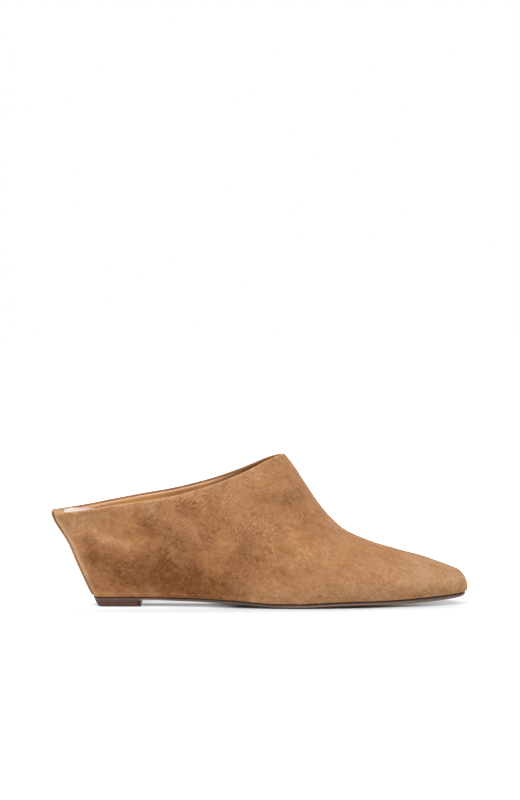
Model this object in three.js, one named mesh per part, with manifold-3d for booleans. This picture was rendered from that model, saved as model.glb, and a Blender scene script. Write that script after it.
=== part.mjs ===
// A closed-toe, backless mule on a wedge heel, covered in suede, for the right foot.
// X runs from the heel to the toe, Y from the outer side to the inner side and Z up from
// the floor. Lengths are in millimetres.

import * as THREE from 'three';
import { mergeVertices } from 'three/addons/utils/BufferGeometryUtils.js';
import Module from 'manifold-3d';

const wasm = await Module();
wasm.setup();

// Overall sizes
const shoeLength = 266;
const ballWidth = 85;
const peakHeight = 96.3;
const seatHeight = 59.1;

// Upper
const wall = 2.0;
const medialRise = 1.5;
const collarWidth = 54;

// Wedge and its back
const heelRake = 29.5;
const rakeReach = 70;
const rakeEase = 1.5;
const heelCorner = 11;
const wedgeLength = 148;
const stripWidth = 29;
const stripThickness = 1.0;
const stripFold = 7.5;

// Insole, sole and top lift
const insoleThickness = 3.0;
const soleWidth = 79;
const soleThickness = 2.8;
const skivedThickness = 1.8;
const bevelHeight = 0.6;
const bevelWidth = 2.0;
const bevelRun = 10;
const toeSpring = 5.5;
const soleSetback = 1.6;
const soleCover = 0.3;
const liftHeight = 4.0;
const liftBreast = 57.5;
const breastHollow = 2.0;
const breastInset = 0.4;

// Toe
const toeTipHeight = 10.6;
const toeCorner = 8;
const noseRound = 7;
const noseTuck = 2.5;

// Clearance between curved pieces
const fitGap = 0.3;

// Squareness of the heel's and the toe's plan, and of the nose seen from the side
const heelSquareness = 3.0;
const toeSquareness = 3.0;
const noseSquareness = 2.2;

// Mesh steps
const endSteps = 6;
const noseSteps = 7;
const lengthSteps = 38;
const crownSteps = 11;
const flankSteps = 7;
const stripSteps = 6;
const stripRiseSteps = 16;
const stripTurnSteps = 5;
const collarSteps = 42;
const slabStep = 6;
const nudge = 0.02;

// Places along the shoe, as shares of its length
const seatEnd = 0.22;
const ballStart = 0.62;

// Plan of the shoe at each share of its length: half widths of the upper at its widest,
// as shares of the ball's width, and of the sole, as shares of the sole's width.
const planRows = [
  { at: 0.000, upperOuter: 0.292, upperInner: 0.280, soleOuter: 0.282, soleInner: 0.275 },
  { at: 0.080, upperOuter: 0.318, upperInner: 0.304, soleOuter: 0.289, soleInner: 0.279 },
  { at: 0.160, upperOuter: 0.329, upperInner: 0.311, soleOuter: 0.292, soleInner: 0.280 },
  { at: 0.230, upperOuter: 0.333, upperInner: 0.313, soleOuter: 0.298, soleInner: 0.282 },
  { at: 0.300, upperOuter: 0.339, upperInner: 0.316, soleOuter: 0.327, soleInner: 0.287 },
  { at: 0.375, upperOuter: 0.364, upperInner: 0.329, soleOuter: 0.369, soleInner: 0.305 },
  { at: 0.432, upperOuter: 0.403, upperInner: 0.356, soleOuter: 0.414, soleInner: 0.332 },
  { at: 0.490, upperOuter: 0.448, upperInner: 0.396, soleOuter: 0.459, soleInner: 0.373 },
  { at: 0.545, upperOuter: 0.482, upperInner: 0.439, soleOuter: 0.488, soleInner: 0.421 },
  { at: 0.600, upperOuter: 0.499, upperInner: 0.478, soleOuter: 0.500, soleInner: 0.468 },
  { at: 0.648, upperOuter: 0.498, upperInner: 0.501, soleOuter: 0.494, soleInner: 0.496 },
  { at: 0.696, upperOuter: 0.482, upperInner: 0.512, soleOuter: 0.475, soleInner: 0.507 },
  { at: 0.745, upperOuter: 0.447, upperInner: 0.501, soleOuter: 0.441, soleInner: 0.498 },
  { at: 0.790, upperOuter: 0.400, upperInner: 0.470, soleOuter: 0.395, soleInner: 0.466 },
  { at: 0.840, upperOuter: 0.345, upperInner: 0.416, soleOuter: 0.340, soleInner: 0.410 },
  { at: 0.890, upperOuter: 0.288, upperInner: 0.352, soleOuter: 0.281, soleInner: 0.345 },
  { at: 0.940, upperOuter: 0.232, upperInner: 0.290, soleOuter: 0.223, soleInner: 0.279 },
  { at: 1.000, upperOuter: 0.168, upperInner: 0.213, soleOuter: 0.157, soleInner: 0.205 },
];

// Section of the upper: the height at which it is widest, as a share of the section's
// height, its roundness, where 2 is an ellipse and more is squarer, and how far the crown
// leans to the inner side, as a share of the ball's width.
const sectionRows = [
  { at: 0.00, widest: 0.43, roundness: 3.00, crownLean: 0.00 },
  { at: 0.22, widest: 0.42, roundness: 3.00, crownLean: 0.00 },
  { at: 0.30, widest: 0.39, roundness: 3.00, crownLean: 0.01 },
  { at: 0.38, widest: 0.32, roundness: 2.70, crownLean: 0.02 },
  { at: 0.45, widest: 0.24, roundness: 2.20, crownLean: 0.03 },
  { at: 0.54, widest: 0.15, roundness: 1.78, crownLean: 0.04 },
  { at: 0.60, widest: 0.14, roundness: 1.76, crownLean: 0.05 },
  { at: 0.66, widest: 0.18, roundness: 1.88, crownLean: 0.06 },
  { at: 0.74, widest: 0.23, roundness: 2.00, crownLean: 0.06 },
  { at: 0.86, widest: 0.28, roundness: 2.15, crownLean: 0.05 },
  { at: 1.00, widest: 0.34, roundness: 2.50, crownLean: 0.02 },
];

// Crown of the last, as shares of the peak's height. Behind the peak the collar cuts it off.
const crownRows = [
  { at: 0.000, height: 1.050 },
  { at: 0.300, height: 1.150 },
  { at: 0.477, height: 1.100 },
  { at: 0.538, height: 1.040 },
  { at: 0.558, height: 0.996 },
  { at: 0.584, height: 0.907 },
  { at: 0.613, height: 0.785 },
  { at: 0.642, height: 0.665 },
  { at: 0.671, height: 0.570 },
  { at: 0.699, height: 0.500 },
  { at: 0.728, height: 0.455 },
  { at: 0.771, height: 0.407 },
  { at: 0.831, height: 0.357 },
  { at: 0.887, height: 0.317 },
  { at: 0.944, height: 0.264 },
  { at: 1.000, height: 0.202 },
];

// Collar seen from the side: its rise above the seat, as a share of the peak's rise, and
// how much of the inner side's extra rise it has there.
const collarRows = [
  { at: -0.050, rise: 0.012, extra: 0.00 },
  { at: 0.015, rise: 0.014, extra: 0.10 },
  { at: 0.038, rise: 0.026, extra: 0.20 },
  { at: 0.079, rise: 0.060, extra: 0.50 },
  { at: 0.141, rise: 0.140, extra: 0.70 },
  { at: 0.237, rise: 0.240, extra: 1.42 },
  { at: 0.286, rise: 0.298, extra: 1.50 },
  { at: 0.334, rise: 0.386, extra: 1.30 },
  { at: 0.382, rise: 0.490, extra: 1.05 },
  { at: 0.430, rise: 0.620, extra: 0.72 },
  { at: 0.477, rise: 0.765, extra: 0.50 },
  { at: 0.514, rise: 0.893, extra: 0.30 },
  { at: 0.538, rise: 0.965, extra: 0.10 },
  { at: 0.558, rise: 1.000, extra: 0.00 },
  { at: 0.620, rise: 1.500, extra: 0.00 },
];

// Back of the wedge: how far in from the back of the seat, as a share of the rake, at each
// share of the seat's height.
const backRows = [
  { at: 0.000, inset: 1.012 },
  { at: 0.100, inset: 0.912 },
  { at: 0.236, inset: 0.783 },
  { at: 0.455, inset: 0.583 },
  { at: 0.673, inset: 0.393 },
  { at: 0.838, inset: 0.190 },
  { at: 0.947, inset: 0.066 },
  { at: 1.000, inset: 0.038 },
  { at: 1.100, inset: 0.030 },
];

// Underside of the sole: shares of the top lift's height behind the ball and of the toe
// spring in front of it.
const undersideRows = [
  { at: -0.02, heel: 1.00, toe: 0.000 },
  { at: 0.220, heel: 1.00, toe: 0.000 },
  { at: 0.308, heel: 0.91, toe: 0.000 },
  { at: 0.357, heel: 0.82, toe: 0.000 },
  { at: 0.406, heel: 0.65, toe: 0.000 },
  { at: 0.455, heel: 0.42, toe: 0.000 },
  { at: 0.504, heel: 0.15, toe: 0.000 },
  { at: 0.534, heel: 0.00, toe: 0.000 },
  { at: 0.602, heel: 0.00, toe: 0.000 },
  { at: 0.640, heel: 0.00, toe: 0.070 },
  { at: 0.677, heel: 0.00, toe: 0.150 },
  { at: 0.714, heel: 0.00, toe: 0.195 },
  { at: 0.790, heel: 0.00, toe: 0.225 },
  { at: 0.840, heel: 0.00, toe: 0.305 },
  { at: 0.887, heel: 0.00, toe: 0.436 },
  { at: 0.936, heel: 0.00, toe: 0.620 },
  { at: 1.000, heel: 0.00, toe: 1.040 },
];

// Footbed: how much of the seat's height is left above the forefoot's level.
const footbedRows = [
  { at: -0.02, drop: 1.000 },
  { at: 0.068, drop: 1.000 },
  { at: 0.108, drop: 0.984 },
  { at: 0.169, drop: 0.932 },
  { at: 0.226, drop: 0.840 },
  { at: 0.282, drop: 0.716 },
  { at: 0.338, drop: 0.566 },
  { at: 0.395, drop: 0.412 },
  { at: 0.451, drop: 0.266 },
  { at: 0.508, drop: 0.150 },
  { at: 0.564, drop: 0.068 },
  { at: 0.620, drop: 0.020 },
  { at: 0.677, drop: 0.000 },
  { at: 1.000, drop: 0.000 },
];

// Height of a column of a table at a place, on a smooth line that never overshoots a row.
function follow(rows, column, at) {
  const last = rows.length - 1;
  const place = Math.min(Math.max(at, rows[0].at), rows[last].at);
  let row = 0;
  while (row < last - 1 && place > rows[row + 1].at) row += 1;
  const span = (i) => rows[i + 1].at - rows[i].at;
  const rate = (i) => (rows[i + 1][column] - rows[i][column]) / span(i);
  const slope = (i) => {
    if (i === 0) return rate(0);
    if (i === last) return rate(last - 1);
    const before = rate(i - 1);
    const after = rate(i);
    return before * after <= 0 ? 0 : (2 * before * after) / (before + after);
  };
  const t = (place - rows[row].at) / span(row);
  const from = rows[row][column] * (1 + 2 * t) * (1 - t) ** 2;
  const to = rows[row + 1][column] * (3 - 2 * t) * t ** 2;
  const bend = slope(row) * t * (1 - t) ** 2 - slope(row + 1) * t ** 2 * (1 - t);
  return from + to + bend * span(row);
}

// Share of the full size at a distance from a rounded end, 0 at the end and 1 past its reach.
function endShare(distance, reach, squareness) {
  const left = Math.max(0, 1 - distance / reach);
  return (1 - left ** squareness) ** (1 / squareness);
}

function underside(x) {
  const at = x / shoeLength;
  return liftHeight * follow(undersideRows, 'heel', at) + toeSpring * follow(undersideRows, 'toe', at);
}

function soleTop(x) {
  const full = THREE.MathUtils.smoothstep(x / shoeLength, seatEnd, ballStart);
  return underside(x) + THREE.MathUtils.lerp(skivedThickness, soleThickness, full);
}

function footbed(x) {
  const forefoot = soleTop(x) + fitGap + insoleThickness;
  return forefoot + (seatHeight - forefoot) * follow(footbedRows, 'drop', x / shoeLength);
}

// Line of the upper's back in side view.
function backLine(z) {
  return heelRake * follow(backRows, 'inset', z / seatHeight);
}

// Place along the shoe of a point on a station: stations lean with the back near the heel
// and stand upright past the rake's reach.
function stationX(station, z) {
  const lean = Math.max(0, 1 - station / rakeReach) ** rakeEase;
  return station + backLine(z) * lean;
}

// Point on the upper's outer surface. The station runs from 0 at the back to the shoe's
// length at the toe, and side from -1 at the outer feather edge, over the crown at 0, to 1
// at the inner feather edge.
const crownShare = crownSteps / (crownSteps + flankSteps);

function upperPoint(station, side) {
  const at = station / shoeLength;
  const toToe = shoeLength - station;
  const ends = endShare(station, heelCorner, heelSquareness) * endShare(toToe, toeCorner, toeSquareness);
  const inner = side > 0;
  const sign = inner ? 1 : -1;
  const widest = ballWidth * follow(planRows, inner ? 'upperInner' : 'upperOuter', at);
  const feather = soleWidth * follow(planRows, inner ? 'soleInner' : 'soleOuter', at);
  const crown = peakHeight * follow(crownRows, 'height', at);
  const bottom = soleTop(station) + fitGap;
  const top = toeTipHeight + (crown - toeTipHeight) * endShare(toToe, noseRound, noseSquareness);
  const floor = toeTipHeight + (bottom - toeTipHeight) * endShare(toToe, noseTuck, noseSquareness);
  const level = floor + (top - floor) * follow(sectionRows, 'widest', at);
  const lean = ballWidth * follow(sectionRows, 'crownLean', at);
  const centre = (ballWidth * (follow(planRows, 'upperInner', at) - follow(planRows, 'upperOuter', at))) / 2;
  const away = Math.abs(side);
  let y;
  let z;
  if (away <= crownShare) {
    const angle = (1 - away / crownShare) * Math.PI / 2;
    const power = 2 / follow(sectionRows, 'roundness', at);
    y = lean + (sign * widest - lean) * Math.max(0, Math.cos(angle)) ** power;
    z = level + (top - level) * Math.sin(angle) ** power;
  } else {
    const rise = (1 - away) / (1 - crownShare);
    y = sign * (feather + (widest - feather) * (1 - (1 - rise) ** 2));
    z = floor + (level - floor) * rise;
  }
  return new THREE.Vector3(stationX(station, z), centre + (y - centre) * ends, z);
}

// Outward direction of the upper's outer surface, from points a nudge away on either side.
function upperNormal(station, side) {
  if (station >= shoeLength) return new THREE.Vector3(1, 0, 0);
  if (station === 0) return upperNormal(nudge, Math.abs(side)).setY(0).normalize();
  const place = Math.min(Math.max(station, nudge), shoeLength - 2 * nudge);
  const along = upperPoint(place + nudge, side).sub(upperPoint(place - nudge / 2, side));
  const low = Math.max(-1, side - nudge);
  const high = Math.min(1, side + nudge);
  const across = upperPoint(place, high).sub(upperPoint(place, low));
  return along.cross(across).normalize();
}

// Stations of the mesh, close together at the rounded ends.
function stations() {
  const places = [];
  for (let i = 0; i < endSteps; i += 1) {
    places.push(heelCorner * (1 - Math.cos((i / endSteps) * Math.PI / 2)));
  }
  const start = heelCorner;
  const end = shoeLength - toeCorner;
  for (let i = 0; i <= lengthSteps; i += 1) places.push(start + ((end - start) * i) / lengthSteps);
  for (let i = noseSteps - 1; i >= 0; i -= 1) {
    places.push(shoeLength - toeCorner * (1 - Math.cos((i / noseSteps) * Math.PI / 2)));
  }
  return places;
}

// Closed body from a grid of points: each row is a closed ring. The first and last rows are
// closed by a fan, or they close on themselves where their two halves lie together.
function closedBody(rings, fans = true) {
  const count = rings[0].length;
  const points = rings.flat();
  const faces = [];
  for (let i = 0; i + 1 < rings.length; i += 1) {
    for (let j = 0; j < count; j += 1) {
      const a = i * count + j;
      const b = i * count + ((j + 1) % count);
      faces.push(a, b, a + count, b, b + count, a + count);
    }
  }
  const lastRing = (rings.length - 1) * count;
  for (let j = 1; fans && j + 1 < count; j += 1) {
    faces.push(0, j + 1, j);
    faces.push(lastRing, lastRing + j, lastRing + j + 1);
  }
  return solidFrom(points, faces);
}

// Solid from points and faces, with points at one place joined and flat faces dropped.
function solidFrom(points, faces) {
  const loose = new THREE.BufferGeometry().setFromPoints(points);
  loose.setIndex(faces);
  const joined = mergeVertices(loose, 1e-3);
  const index = Array.from(joined.index.array);
  const kept = [];
  for (let i = 0; i < index.length; i += 3) {
    const [a, b, c] = index.slice(i, i + 3);
    if (a !== b && b !== c && c !== a) kept.push(a, b, c);
  }
  return new wasm.Manifold(new wasm.Mesh({
    numProp: 3,
    vertProperties: new Float32Array(joined.attributes.position.array),
    triVerts: new Uint32Array(kept),
  }));
}

// Body of the upper's outer form moved in by a distance. A moved form reaches below the
// upper, so that it leaves it open underneath.
function lastForm(inset) {
  const sides = [];
  for (let i = 0; i <= flankSteps; i += 1) sides.push(-1 + ((1 - crownShare) * i) / flankSteps);
  for (let i = 1; i <= 2 * crownSteps; i += 1) sides.push(-crownShare + (crownShare * i) / crownSteps);
  for (let i = 1; i <= flankSteps; i += 1) sides.push(crownShare + ((1 - crownShare) * i) / flankSteps);
  const rings = stations().map((station) => {
    const ring = sides.map((side) => {
      return upperPoint(station, side).addScaledVector(upperNormal(station, side), -inset);
    });
    if (inset > 0) {
      const below = (point) => new THREE.Vector3(point.x, point.y, -liftHeight);
      ring.unshift(below(ring[0]));
      ring.push(below(ring[ring.length - 1]));
    }
    return ring.reverse();
  });
  return closedBody(rings, false);
}

// Body between two heights that follow the length, right across the shoe.
function slab(low, high, from, to) {
  const half = ballWidth;
  const steps = Math.ceil((to - from) / slabStep);
  const rings = [];
  for (let i = 0; i <= steps; i += 1) {
    const x = from + ((to - from) * i) / steps;
    rings.push([
      new THREE.Vector3(x, -half, low(x)),
      new THREE.Vector3(x, half, low(x)),
      new THREE.Vector3(x, half, high(x)),
      new THREE.Vector3(x, -half, high(x)),
    ]);
  }
  return closedBody(rings);
}

// Everything above the collar, which rises more on the inner side.
function aboveCollar() {
  const half = ballWidth;
  const from = collarRows[0].at;
  const to = collarRows[collarRows.length - 1].at;
  const sky = peakHeight * 1.5;
  const sections = [];
  for (let i = 0; i <= collarSteps; i += 1) {
    const at = from + ((to - from) * i) / collarSteps;
    const outer = seatHeight + (peakHeight - seatHeight) * follow(collarRows, 'rise', at);
    const extra = medialRise * follow(collarRows, 'extra', at);
    const height = (y) => outer + extra * (0.5 + y / collarWidth);
    const x = at * shoeLength;
    sections.push([
      new THREE.Vector3(x, -half, height(-half)),
      new THREE.Vector3(x, half, height(half)),
      new THREE.Vector3(x, half, sky),
      new THREE.Vector3(x, -half, sky),
    ]);
  }
  return closedBody(sections);
}

// Block where the strip folds over the back of the seat.
function foldSeat() {
  const half = stripWidth / 2 + fitGap;
  const high = seatHeight * 1.2;
  const rings = [-heelRake, stripFold + fitGap].map((x) => [
    new THREE.Vector3(x, -half, seatHeight),
    new THREE.Vector3(x, half, seatHeight),
    new THREE.Vector3(x, half, high),
    new THREE.Vector3(x, -half, high),
  ]);
  return closedBody(rings);
}

function makeUpper() {
  return lastForm(0).subtract(lastForm(wall)).subtract(aboveCollar()).subtract(foldSeat());
}

function makeWedge() {
  const inside = lastForm(wall + fitGap);
  const top = (x) => footbed(x) - insoleThickness - fitGap;
  return inside.intersect(slab((x) => soleTop(x) + fitGap, top, -heelRake, wedgeLength));
}

function makeInsole() {
  const inside = lastForm(wall + fitGap);
  return inside.intersect(slab((x) => footbed(x) - insoleThickness, footbed, -heelRake, shoeLength));
}

// Half width of the upper's back face at a height, before its corners round it off.
function backHalfWidth(z) {
  const floor = soleTop(0) + fitGap;
  const crown = peakHeight * follow(crownRows, 'height', 0);
  const level = floor + (crown - floor) * follow(sectionRows, 'widest', 0);
  const rise = Math.min(1, (z - floor) / (level - floor));
  const feather = soleWidth * follow(planRows, 'soleInner', 0);
  const widest = ballWidth * follow(planRows, 'upperInner', 0);
  return feather + (widest - feather) * (1 - (1 - rise) ** 2);
}

// Strip of suede up the back and over the top edge. Its path has places on the upper and
// the directions in which the strip stands off them.
function makeBackStrip() {
  const lowest = soleTop(0) + fitGap;
  const backFace = (y, z) => {
    const share = Math.abs(y) / backHalfWidth(z);
    const station = heelCorner * (1 - (1 - share ** heelSquareness) ** (1 / heelSquareness));
    return stationX(station, z);
  };
  const path = [];
  for (let i = 0; i <= stripRiseSteps; i += 1) {
    const z = lowest + ((seatHeight - lowest) * i) / stripRiseSteps;
    const slope = backLine(z + 0.5) - backLine(z - 0.5);
    path.push({ z, forward: 0, turn: Math.atan2(slope, 1) });
  }
  const start = path[stripRiseSteps].turn;
  for (let i = 1; i <= stripTurnSteps; i += 1) {
    path.push({ z: seatHeight, forward: 0, turn: start + ((Math.PI / 2 - start) * i) / stripTurnSteps });
  }
  path.push({ z: seatHeight, forward: 0.5, turn: Math.PI / 2 });
  path.push({ z: seatHeight, forward: 1, turn: Math.PI / 2 });
  const rings = path.map(({ z, forward, turn }) => {
    const ring = [];
    const layer = (distance, sign) => {
      for (let i = 0; i <= stripSteps; i += 1) {
        const y = sign * stripWidth * (i / stripSteps - 0.5);
        const x = THREE.MathUtils.lerp(backFace(y, z), stripFold, forward);
        ring.push(z > lowest
          ? new THREE.Vector3(x - Math.cos(turn) * distance, y, z + Math.sin(turn) * distance)
          : new THREE.Vector3(x - distance / Math.cos(turn), y, z));
      }
    };
    layer(fitGap, 1);
    layer(fitGap + stripThickness, -1);
    return ring;
  });
  return closedBody(rings);
}

// Outline of the sole at a height, moved in by an inset: it reaches back under the strip,
// and its toe is set back from the upper.
function solePoint(share, sign, z, inset = 0) {
  const length = shoeLength - soleSetback - inset;
  const station = share * length;
  const at = station / shoeLength;
  const ends = endShare(station, heelCorner, heelSquareness)
    * endShare(length - station, toeCorner, toeSquareness);
  const outer = soleWidth * follow(planRows, 'soleOuter', at);
  const inner = soleWidth * follow(planRows, 'soleInner', at);
  const centre = (inner - outer) / 2;
  const y = sign > 0 ? inner - inset : inset - outer;
  const cover = soleCover * Math.max(0, 1 - station / (2 * heelCorner));
  return new THREE.Vector3(stationX(station, z) - cover, centre + (y - centre) * ends, z);
}

// Sole with a bevel along its lower edge, in front of the top lift.
function makeOutsole() {
  const length = shoeLength - soleSetback;
  const rings = stations().map((station) => {
    const share = Math.min(1, station / shoeLength);
    const x = share * length;
    const low = underside(x);
    const high = soleTop(x);
    const bevel = THREE.MathUtils.smoothstep(x, liftBreast, liftBreast + bevelRun);
    const inset = bevelWidth * bevel;
    const edge = low + bevelHeight * bevel;
    return [
      solePoint(share, -1, low, inset),
      solePoint(share, 1, low, inset),
      solePoint(share, 1, edge),
      solePoint(share, 1, high),
      solePoint(share, -1, high),
      solePoint(share, -1, edge),
    ];
  });
  return closedBody(rings, false);
}

// Top lift: the sole's outline from the floor to the sole, cut off by a hollowed breast.
function makeTopLift() {
  const levels = [0, liftHeight / 2, liftHeight];
  const shares = [];
  for (let i = 0; i <= endSteps; i += 1) {
    shares.push((heelCorner * (1 - Math.cos((i / endSteps) * Math.PI / 2))) / shoeLength);
  }
  const rings = shares.map((share) => {
    const ring = levels.map((z) => solePoint(share, -1, z));
    return ring.concat(levels.toReversed().map((z) => solePoint(share, 1, z)));
  });
  const wide = rings[rings.length - 1];
  const breast = wide.map((point) => {
    const hollow = point.z > 0 && point.z < liftHeight ? breastHollow : 0;
    const side = point.y < 0 ? 'soleOuter' : 'soleInner';
    const half = soleWidth * follow(planRows, side, liftBreast / shoeLength) - breastInset;
    return new THREE.Vector3(liftBreast - hollow, Math.sign(point.y) * half, point.z);
  });
  rings.push(breast);
  return closedBody(rings.map((ring) => ring.toReversed()));
}

const suede = new THREE.MeshStandardMaterial({ color: 0xb88860, roughness: 0.95, metalness: 0 });
const stripSuede = new THREE.MeshStandardMaterial({ color: 0xc4946a, roughness: 0.95, metalness: 0 });
const cork = new THREE.MeshStandardMaterial({ color: 0xb08a5c, roughness: 0.9, metalness: 0 });
const sockLeather = new THREE.MeshStandardMaterial({ color: 0xefdfd2, roughness: 0.45, metalness: 0 });
const soleLeather = new THREE.MeshStandardMaterial({ color: 0x6b5044, roughness: 0.5, metalness: 0 });
const liftRubber = new THREE.MeshStandardMaterial({ color: 0x5b3f36, roughness: 0.6, metalness: 0 });

function piece(name, solid, material) {
  const { vertProperties, triVerts, numProp } = solid.getMesh();
  const geometry = new THREE.BufferGeometry();
  const places = new Float32Array((vertProperties.length / numProp) * 3);
  for (let i = 0; i < places.length / 3; i += 1) {
    places.set(vertProperties.subarray(i * numProp, i * numProp + 3), i * 3);
  }
  geometry.setAttribute('position', new THREE.BufferAttribute(places, 3));
  geometry.setIndex(new THREE.BufferAttribute(new Uint32Array(triVerts), 1));
  geometry.computeVertexNormals();
  const mesh = new THREE.Mesh(geometry, material);
  mesh.name = name;
  return mesh;
}

const shoe = new THREE.Group();
shoe.add(
  piece('upper', makeUpper(), suede),
  piece('back_strip', makeBackStrip(), stripSuede),
  piece('wedge', makeWedge(), cork),
  piece('insole', makeInsole(), sockLeather),
  piece('outsole', makeOutsole(), soleLeather),
  piece('top_lift', makeTopLift(), liftRubber),
);

// The origin is on the floor under the middle of the shoe.
const box = new THREE.Box3().setFromObject(shoe);
const middle = box.getCenter(new THREE.Vector3());
for (const mesh of shoe.children) mesh.geometry.translate(-middle.x, -middle.y, 0);

export default shoe;
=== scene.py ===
# A tan suede mule on a wedge heel: one right shoe, standing empty on a pale studio floor.
# The shoe's own sizes are in metres from the back of its seat, with X to the toe, Y to the
# inner side of the foot and Z up from the floor.
import math

import bmesh
import bpy
import numpy as np
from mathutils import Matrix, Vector, noise


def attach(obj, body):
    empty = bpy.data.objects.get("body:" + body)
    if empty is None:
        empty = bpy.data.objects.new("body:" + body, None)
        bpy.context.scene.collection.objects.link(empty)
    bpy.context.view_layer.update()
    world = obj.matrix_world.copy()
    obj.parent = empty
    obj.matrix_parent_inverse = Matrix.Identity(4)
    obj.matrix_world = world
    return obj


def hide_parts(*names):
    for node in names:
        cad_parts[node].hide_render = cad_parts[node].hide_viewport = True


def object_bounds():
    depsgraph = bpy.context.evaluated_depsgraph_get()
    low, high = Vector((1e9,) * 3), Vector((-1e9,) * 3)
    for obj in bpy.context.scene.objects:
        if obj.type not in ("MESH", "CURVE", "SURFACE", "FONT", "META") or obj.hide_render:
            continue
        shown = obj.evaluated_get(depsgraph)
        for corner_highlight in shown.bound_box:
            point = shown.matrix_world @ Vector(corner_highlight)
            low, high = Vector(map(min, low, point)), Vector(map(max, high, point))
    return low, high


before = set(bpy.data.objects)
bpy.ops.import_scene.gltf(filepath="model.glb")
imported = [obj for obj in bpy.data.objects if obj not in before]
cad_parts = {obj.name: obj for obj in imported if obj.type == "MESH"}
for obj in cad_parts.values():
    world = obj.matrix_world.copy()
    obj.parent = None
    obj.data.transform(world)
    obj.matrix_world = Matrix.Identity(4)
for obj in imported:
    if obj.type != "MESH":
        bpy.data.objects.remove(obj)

cad_low, cad_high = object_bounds()


# Studio and camera. A long lens looks at the shoe's outer side from just above the floor,
# in soft white light all round, on a pale floor whose glow is painted light and shade: painted
# light in soft bands in front of the shoe, under its arch and toe, and behind it.
eye = (-0.0087, -2.195, 0.2152)
look_down = 0.03875
look_right = 0.00405
lens_length = 154.7

camera = bpy.data.objects.new("camera", bpy.data.cameras.new("camera"))
camera.data.lens = lens_length
camera.data.sensor_width = 36
camera.data.clip_end = 20
camera.location = eye
camera.rotation_euler = (math.pi / 2 - look_down, 0, -look_right)
bpy.context.scene.collection.objects.link(camera)
bpy.context.scene.camera = camera
bpy.context.scene.view_settings.view_transform = "Standard"


def linear(red, green, blue):
    """A screen colour, 0 to 255, as the linear colour that a material takes."""
    shares = [value / 255 for value in (red, green, blue)]
    return (*[s / 12.92 if s < 0.04045 else ((s + 0.055) / 1.055) ** 2.4 for s in shares], 1.0)


def far_light(name, toward, strength, width):
    """Soft light from so far away that the whole studio gets the same; width is its angle."""
    lamp = bpy.data.objects.new(name, bpy.data.lights.new(name, "SUN"))
    lamp.data.energy = strength
    lamp.data.angle = width
    lamp.rotation_euler = Vector(toward).to_track_quat("-Z", "Y").to_euler()
    bpy.context.scene.collection.objects.link(lamp)


far_light("key_light", (0.5, 0.75, -1.0), 0.9, 0.5)
far_light("side_light", (-1.0, 0.4, -0.7), 0.35, 0.9)

world = bpy.data.worlds.new("studio")
world.use_nodes = True
sky = world.node_tree.nodes["Background"].inputs
sky["Color"].default_value = (1, 1, 1, 1)
sky["Strength"].default_value = 1.0
bpy.context.scene.world = world


class Paint:
    """One output in a material's node tree, which sums, products and further nodes can use."""

    def __init__(self, tree, socket=None):
        self.tree = tree
        self.socket = socket

    def node(self, kind, settings=None, sockets=None, output=0):
        """A new node: its settings are set first, then its sockets' values or links."""
        made = self.tree.nodes.new(kind)
        for setting, value in (settings or {}).items():
            setattr(made, setting, value)
        for key, value in (sockets or {}).items():
            if isinstance(value, Paint):
                self.tree.links.new(value.socket, made.inputs[key])
            else:
                made.inputs[key].default_value = value
        return Paint(self.tree, made.outputs[output])

    def math(self, operation, other, turned=False):
        """Arithmetic with another value or output; turned puts this one second."""
        pair = {1: self, 0: other} if turned else {0: self, 1: other}
        return self.node("ShaderNodeMath", {"operation": operation}, pair)

    def __add__(self, other):
        return self.math("ADD", other)

    def __sub__(self, other):
        return self.math("SUBTRACT", other)

    def __rsub__(self, other):
        return self.math("SUBTRACT", other, turned=True)

    def __mul__(self, other):
        return self.math("MULTIPLY", other)

    __radd__ = __add__
    __rmul__ = __mul__

    def noise(self, scale, detail=3.0, roughness=0.55, where=None, distortion=0.0):
        """Noise at so many waves a metre, on the object's own coordinates."""
        where = where or self.node("ShaderNodeTexCoord", output="Object")
        sockets = {"Vector": where, "Scale": scale, "Detail": detail, "Roughness": roughness,
                   "Distortion": distortion}
        return self.node("ShaderNodeTexNoise", {"noise_dimensions": "3D"}, sockets)

    def stretched(self, size, turn=0.0):
        """Object coordinates for a pattern of so many metres each way, turned in side view."""
        sockets = {"Vector": self.node("ShaderNodeTexCoord", output="Object"), "Scale": size,
                   "Rotation": (0.0, turn, 0.0)}
        return self.node("ShaderNodeMapping", {"vector_type": "TEXTURE"}, sockets)

    def between(self, low, high, to_low=0.0, to_high=1.0):
        """This value moved from one range to another, without leaving it."""
        sockets = {"Value": self, "From Min": low, "From Max": high, "To Min": to_low, "To Max": to_high}
        return self.node("ShaderNodeMapRange", {"clamp": True}, sockets)

    def blend(self, first, second, way="MIX"):
        """A colour between two, this value being the share of the second."""
        return self.node("ShaderNodeMix", {"data_type": "RGBA", "blend_type": way},
                         {0: self, 6: first, 7: second}, output=2)

    def attribute(self, name):
        return self.node("ShaderNodeAttribute", {"attribute_name": name}, output="Fac")

    def bump(self, strength, distance):
        """The surface's direction where this value is its relief."""
        sockets = {"Strength": strength, "Distance": distance, "Height": self}
        return self.node("ShaderNodeBump", {}, sockets)


def finish(name, fixed):
    """A new material whose shader has these fixed values, and the two to paint with."""
    material = bpy.data.materials.new(name)
    material.use_nodes = True
    tree = material.node_tree
    shader = tree.nodes["Principled BSDF"]
    for key, value in fixed.items():
        shader.inputs[key].default_value = value
    return material, Paint(tree), shader


def wear(paint, shader, **inputs):
    """Links painted values to the shader's inputs of those names."""
    for key, value in inputs.items():
        paint.tree.links.new(value.socket, shader.inputs[key.replace("_", " ")])


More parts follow.
